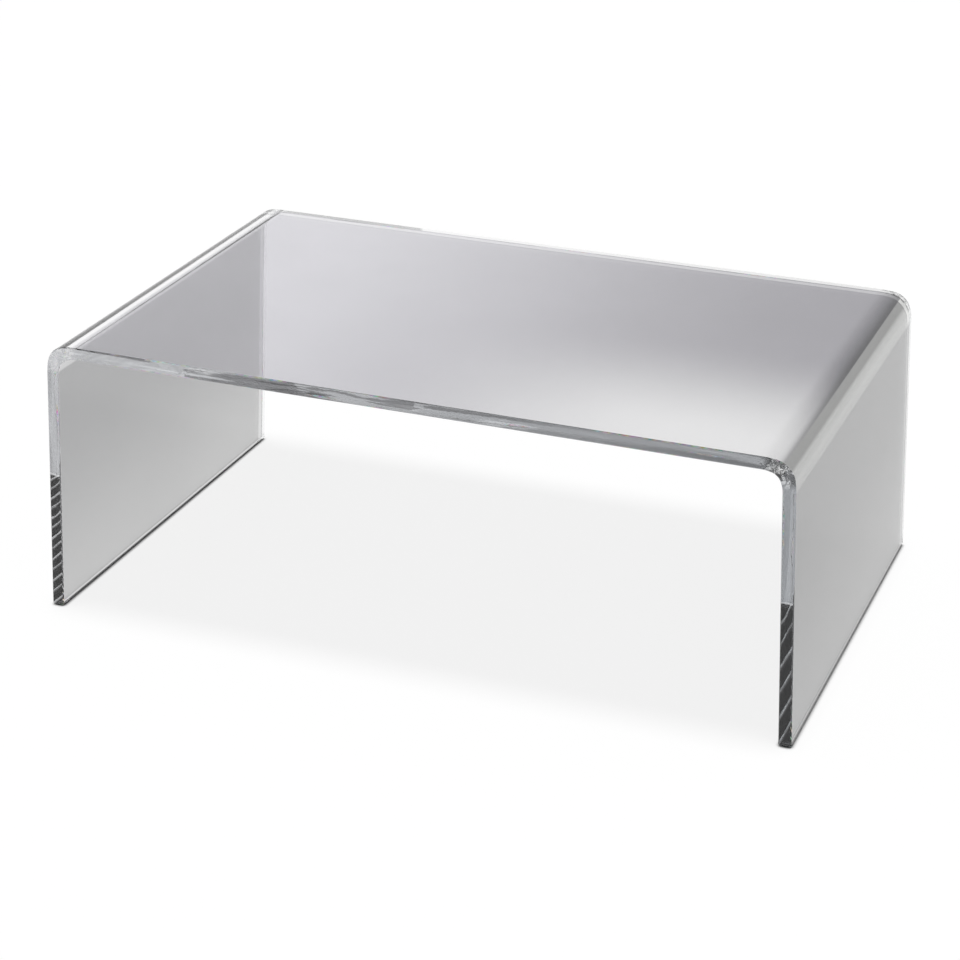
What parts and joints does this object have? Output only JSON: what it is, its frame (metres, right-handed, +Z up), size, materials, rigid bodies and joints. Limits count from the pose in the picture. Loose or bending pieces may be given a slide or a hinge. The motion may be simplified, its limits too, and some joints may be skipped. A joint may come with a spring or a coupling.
{
  "type": "waterfall coffee table",
  "caption": "Clear waterfall coffee table: a thick acrylic sheet heat-bent into a flat top and two slab legs, with bevelled polished edges, standing on small clear pads.",
  "frame": {"origin": "on the floor at the centre of the table's footprint, under the middle of the top", "axes": "+X along the length, from the left leg to the right leg; +Y from the front edge to the back edge; +Z up through the top"},
  "size_m": [1.1054, 0.67, 0.408],
  "materials": {
    "clear_acrylic": "clear cast acrylic, polished faces and flame-polished bevelled edges",
    "clear_pad": "clear soft polyurethane, smooth"
  },
  "bodies": {
    "root": {"bent_acrylic_sheet": "clear_acrylic", "front_left_foot_pad": "clear_pad", "back_left_foot_pad": "clear_pad", "front_right_foot_pad": "clear_pad", "back_right_foot_pad": "clear_pad"}
  },
  "joints": []
}
